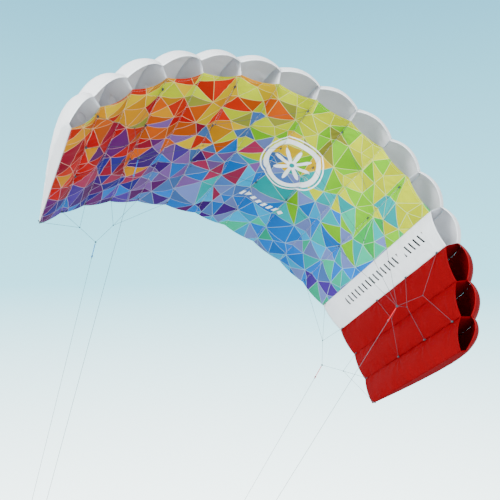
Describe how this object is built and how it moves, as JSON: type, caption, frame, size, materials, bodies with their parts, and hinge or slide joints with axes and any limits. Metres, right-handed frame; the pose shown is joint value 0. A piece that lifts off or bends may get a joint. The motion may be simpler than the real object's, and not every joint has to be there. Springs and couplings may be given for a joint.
{
  "type": "parafoil kite",
  "caption": "Ram-air parafoil kite with two fabric skins over sewn ribs, open intakes, a cascaded bridle, hinged trailing edges and flying lines.",
  "frame": {"origin": "on the lower skin at the centre plane of the wing, 40% of the centre chord behind the leading edge, under its centre of lift", "axes": "+X along the span towards the red tip, +Y along the chord towards the trailing edge, +Z out of the upper skin; the lines leave towards -Z"},
  "size_m": [2.6694, 2.2192, 2.7277],
  "materials": {
    "white_ripstop": "smooth coated ripstop",
    "red_ripstop": "smooth coated ripstop",
    "warm_mosaic": "printed ripstop, facet pattern in reds and oranges",
    "lime_mosaic": "printed ripstop, facet pattern in yellows and greens",
    "blue_mosaic": "printed ripstop, facet pattern in blues and violets",
    "bridle_cord": "braided",
    "line_cord": "braided",
    "red_cord": "braided",
    "blue_cord": "braided"
  },
  "bodies": {
    "wing": {"lower_panel_01": "warm_mosaic", "lower_panel_02": "warm_mosaic", "lower_panel_03": "warm_mosaic", "lower_panel_04": "warm_mosaic", "lower_panel_05": "warm_mosaic", "lower_panel_06": "lime_mosaic", "lower_panel_07": "lime_mosaic", "lower_panel_08": "lime_mosaic", "lower_panel_09": "lime_mosaic", "lower_panel_10": "blue_mosaic", "lower_panel_11": "blue_mosaic", "lower_panel_12": "white_ripstop", "lower_panel_13": "red_ripstop", "lower_panel_14": "red_ripstop", "lower_panel_15": "red_ripstop", "upper_panel_01": "white_ripstop", "upper_panel_02": "white_ripstop", "upper_panel_03": "white_ripstop", "upper_panel_04": "white_ripstop", "upper_panel_05": "white_ripstop", "upper_panel_06": "white_ripstop", "upper_panel_07": "white_ripstop", "upper_panel_08": "white_ripstop", "upper_panel_09": "white_ripstop", "upper_panel_10": "white_ripstop", "upper_panel_11": "white_ripstop", "upper_panel_12": "white_ripstop", "upper_panel_13": "red_ripstop", "upper_panel_14": "red_ripstop", "upper_panel_15": "red_ripstop", "end_rib_left": "white_ripstop", "end_rib_right": "red_ripstop", "plain_ribs": "white_ripstop", "bridled_ribs_left": "white_ripstop", "bridled_ribs_right": "white_ripstop", "front_bridle_left": "bridle_cord", "front_bridle_right": "bridle_cord", "middle_bridle_left": "bridle_cord", "middle_bridle_right": "bridle_cord", "rear_bridle_left": "bridle_cord", "rear_bridle_right": "bridle_cord"},
    "flap_left": {"flap_skins_left": "warm_mosaic", "flap_tails_left": "white_ripstop"},
    "brake_bridle_left": {"brake_fan_inner_left": "bridle_cord", "brake_fan_outer_left": "bridle_cord", "brake_mids_left": "bridle_cord"},
    "brake_pigtail_left": {"brake_pigtail_left": "blue_cord"},
    "brake_line_left": {"brake_line_left": "line_cord"},
    "main_pigtail_left": {"main_pigtail_left": "blue_cord"},
    "main_line_left": {"main_line_left": "line_cord"},
    "flap_right": {"flap_skins_right": "red_ripstop", "flap_tails_right": "white_ripstop"},
    "brake_bridle_right": {"brake_fan_inner_right": "bridle_cord", "brake_fan_outer_right": "bridle_cord", "brake_mids_right": "bridle_cord"},
    "brake_pigtail_right": {"brake_pigtail_right": "red_cord"},
    "brake_line_right": {"brake_line_right": "line_cord"},
    "main_pigtail_right": {"main_pigtail_right": "red_cord"},
    "main_line_right": {"main_line_right": "line_cord"}
  },
  "joints": [
    {"name": "flap_left", "type": "hinge", "parent": "wing", "child": "flap_left", "pos_m": [-0.60554, 0.41162, -0.18005], "axis": [-0.5601, -0.1456, -0.8155], "range_deg": [0, 18], "stiffness_Nm_per_rad": 0.6},
    {"name": "brake_bridle_left", "type": "hinge", "parent": "flap_left", "child": "brake_bridle_left", "pos_m": [-0.60231, 0.75407, -0.1851], "axis": [-0.5601, -0.1456, -0.8155], "range_deg": [-18.5, 0.5]},
    {"name": "brake_pitch_left", "type": "hinge", "parent": "brake_bridle_left", "child": "brake_pigtail_left", "pos_m": [-0.89, 0.7, -0.85], "axis": [1, 0, 0], "range_deg": [-10, 10]},
    {"name": "brake_sway_left", "type": "hinge", "parent": "brake_pigtail_left", "child": "brake_line_left", "pos_m": [-0.86338, 0.74754, -0.93271], "axis": [0, 1, 0], "range_deg": [-10, 10]},
    {"name": "main_pitch_left", "type": "hinge", "parent": "wing", "child": "main_pigtail_left", "pos_m": [-0.875, -0.2, -0.85], "axis": [1, 0, 0], "range_deg": [-10, 10]},
    {"name": "main_sway_left", "type": "hinge", "parent": "main_pigtail_left", "child": "main_line_left", "pos_m": [-0.85021, -0.13899, -0.92722], "axis": [0, 1, 0], "range_deg": [-10, 10]},
    {"name": "flap_right", "type": "hinge", "parent": "wing", "child": "flap_right", "pos_m": [0.60554, 0.41162, -0.18005], "axis": [-0.5601, 0.1456, 0.8155], "range_deg": [0, 18], "stiffness_Nm_per_rad": 0.6},
    {"name": "brake_bridle_right", "type": "hinge", "parent": "flap_right", "child": "brake_bridle_right", "pos_m": [0.60231, 0.75407, -0.1851], "axis": [-0.5601, 0.1456, 0.8155], "range_deg": [-18.5, 0.5]},
    {"name": "brake_pitch_right", "type": "hinge", "parent": "brake_bridle_right", "child": "brake_pigtail_right", "pos_m": [0.89, 0.7, -0.85], "axis": [1, 0, 0], "range_deg": [-10, 10]},
    {"name": "brake_sway_right", "type": "hinge", "parent": "brake_pigtail_right", "child": "brake_line_right", "pos_m": [0.8824, 0.7494, -0.93551], "axis": [0, 1, 0], "range_deg": [-10, 10]},
    {"name": "main_pitch_right", "type": "hinge", "parent": "wing", "child": "main_pigtail_right", "pos_m": [0.875, -0.2, -0.85], "axis": [1, 0, 0], "range_deg": [-10, 10]},
    {"name": "main_sway_right", "type": "hinge", "parent": "main_pigtail_right", "child": "main_line_right", "pos_m": [0.86832, -0.13697, -0.92926], "axis": [0, 1, 0], "range_deg": [-10, 10]}
  ],
  "couplings": [
    {"joint": "brake_bridle_left", "follows": "flap_left", "ratio": -1},
    {"joint": "brake_bridle_right", "follows": "flap_right", "ratio": -1}
  ]
}
